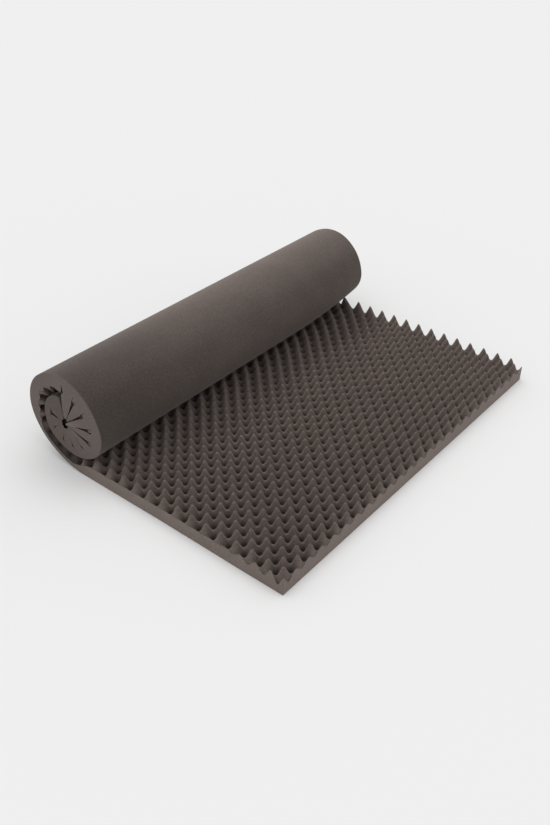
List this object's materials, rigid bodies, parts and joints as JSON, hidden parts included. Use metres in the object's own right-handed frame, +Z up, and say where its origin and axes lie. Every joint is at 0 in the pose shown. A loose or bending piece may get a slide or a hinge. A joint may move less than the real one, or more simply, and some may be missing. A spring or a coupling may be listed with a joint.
{
  "type": "foam mattress",
  "caption": "Egg-crate foam mattress sheet, cut square and laid face up, with one end rolled back into a loose spiral.",
  "frame": {"origin": "middle of the box's underside, on the floor that the sheet lies on", "axes": "+X from the roll towards the free cut end, +Y along the roll, +Z up"},
  "size_m": [0.7324, 1, 0.2459],
  "materials": {
    "foam": "matt open-cell polyurethane foam, warm grey"
  },
  "bodies": {
    "root": {"foam_mattress": "foam"}
  },
  "joints": []
}
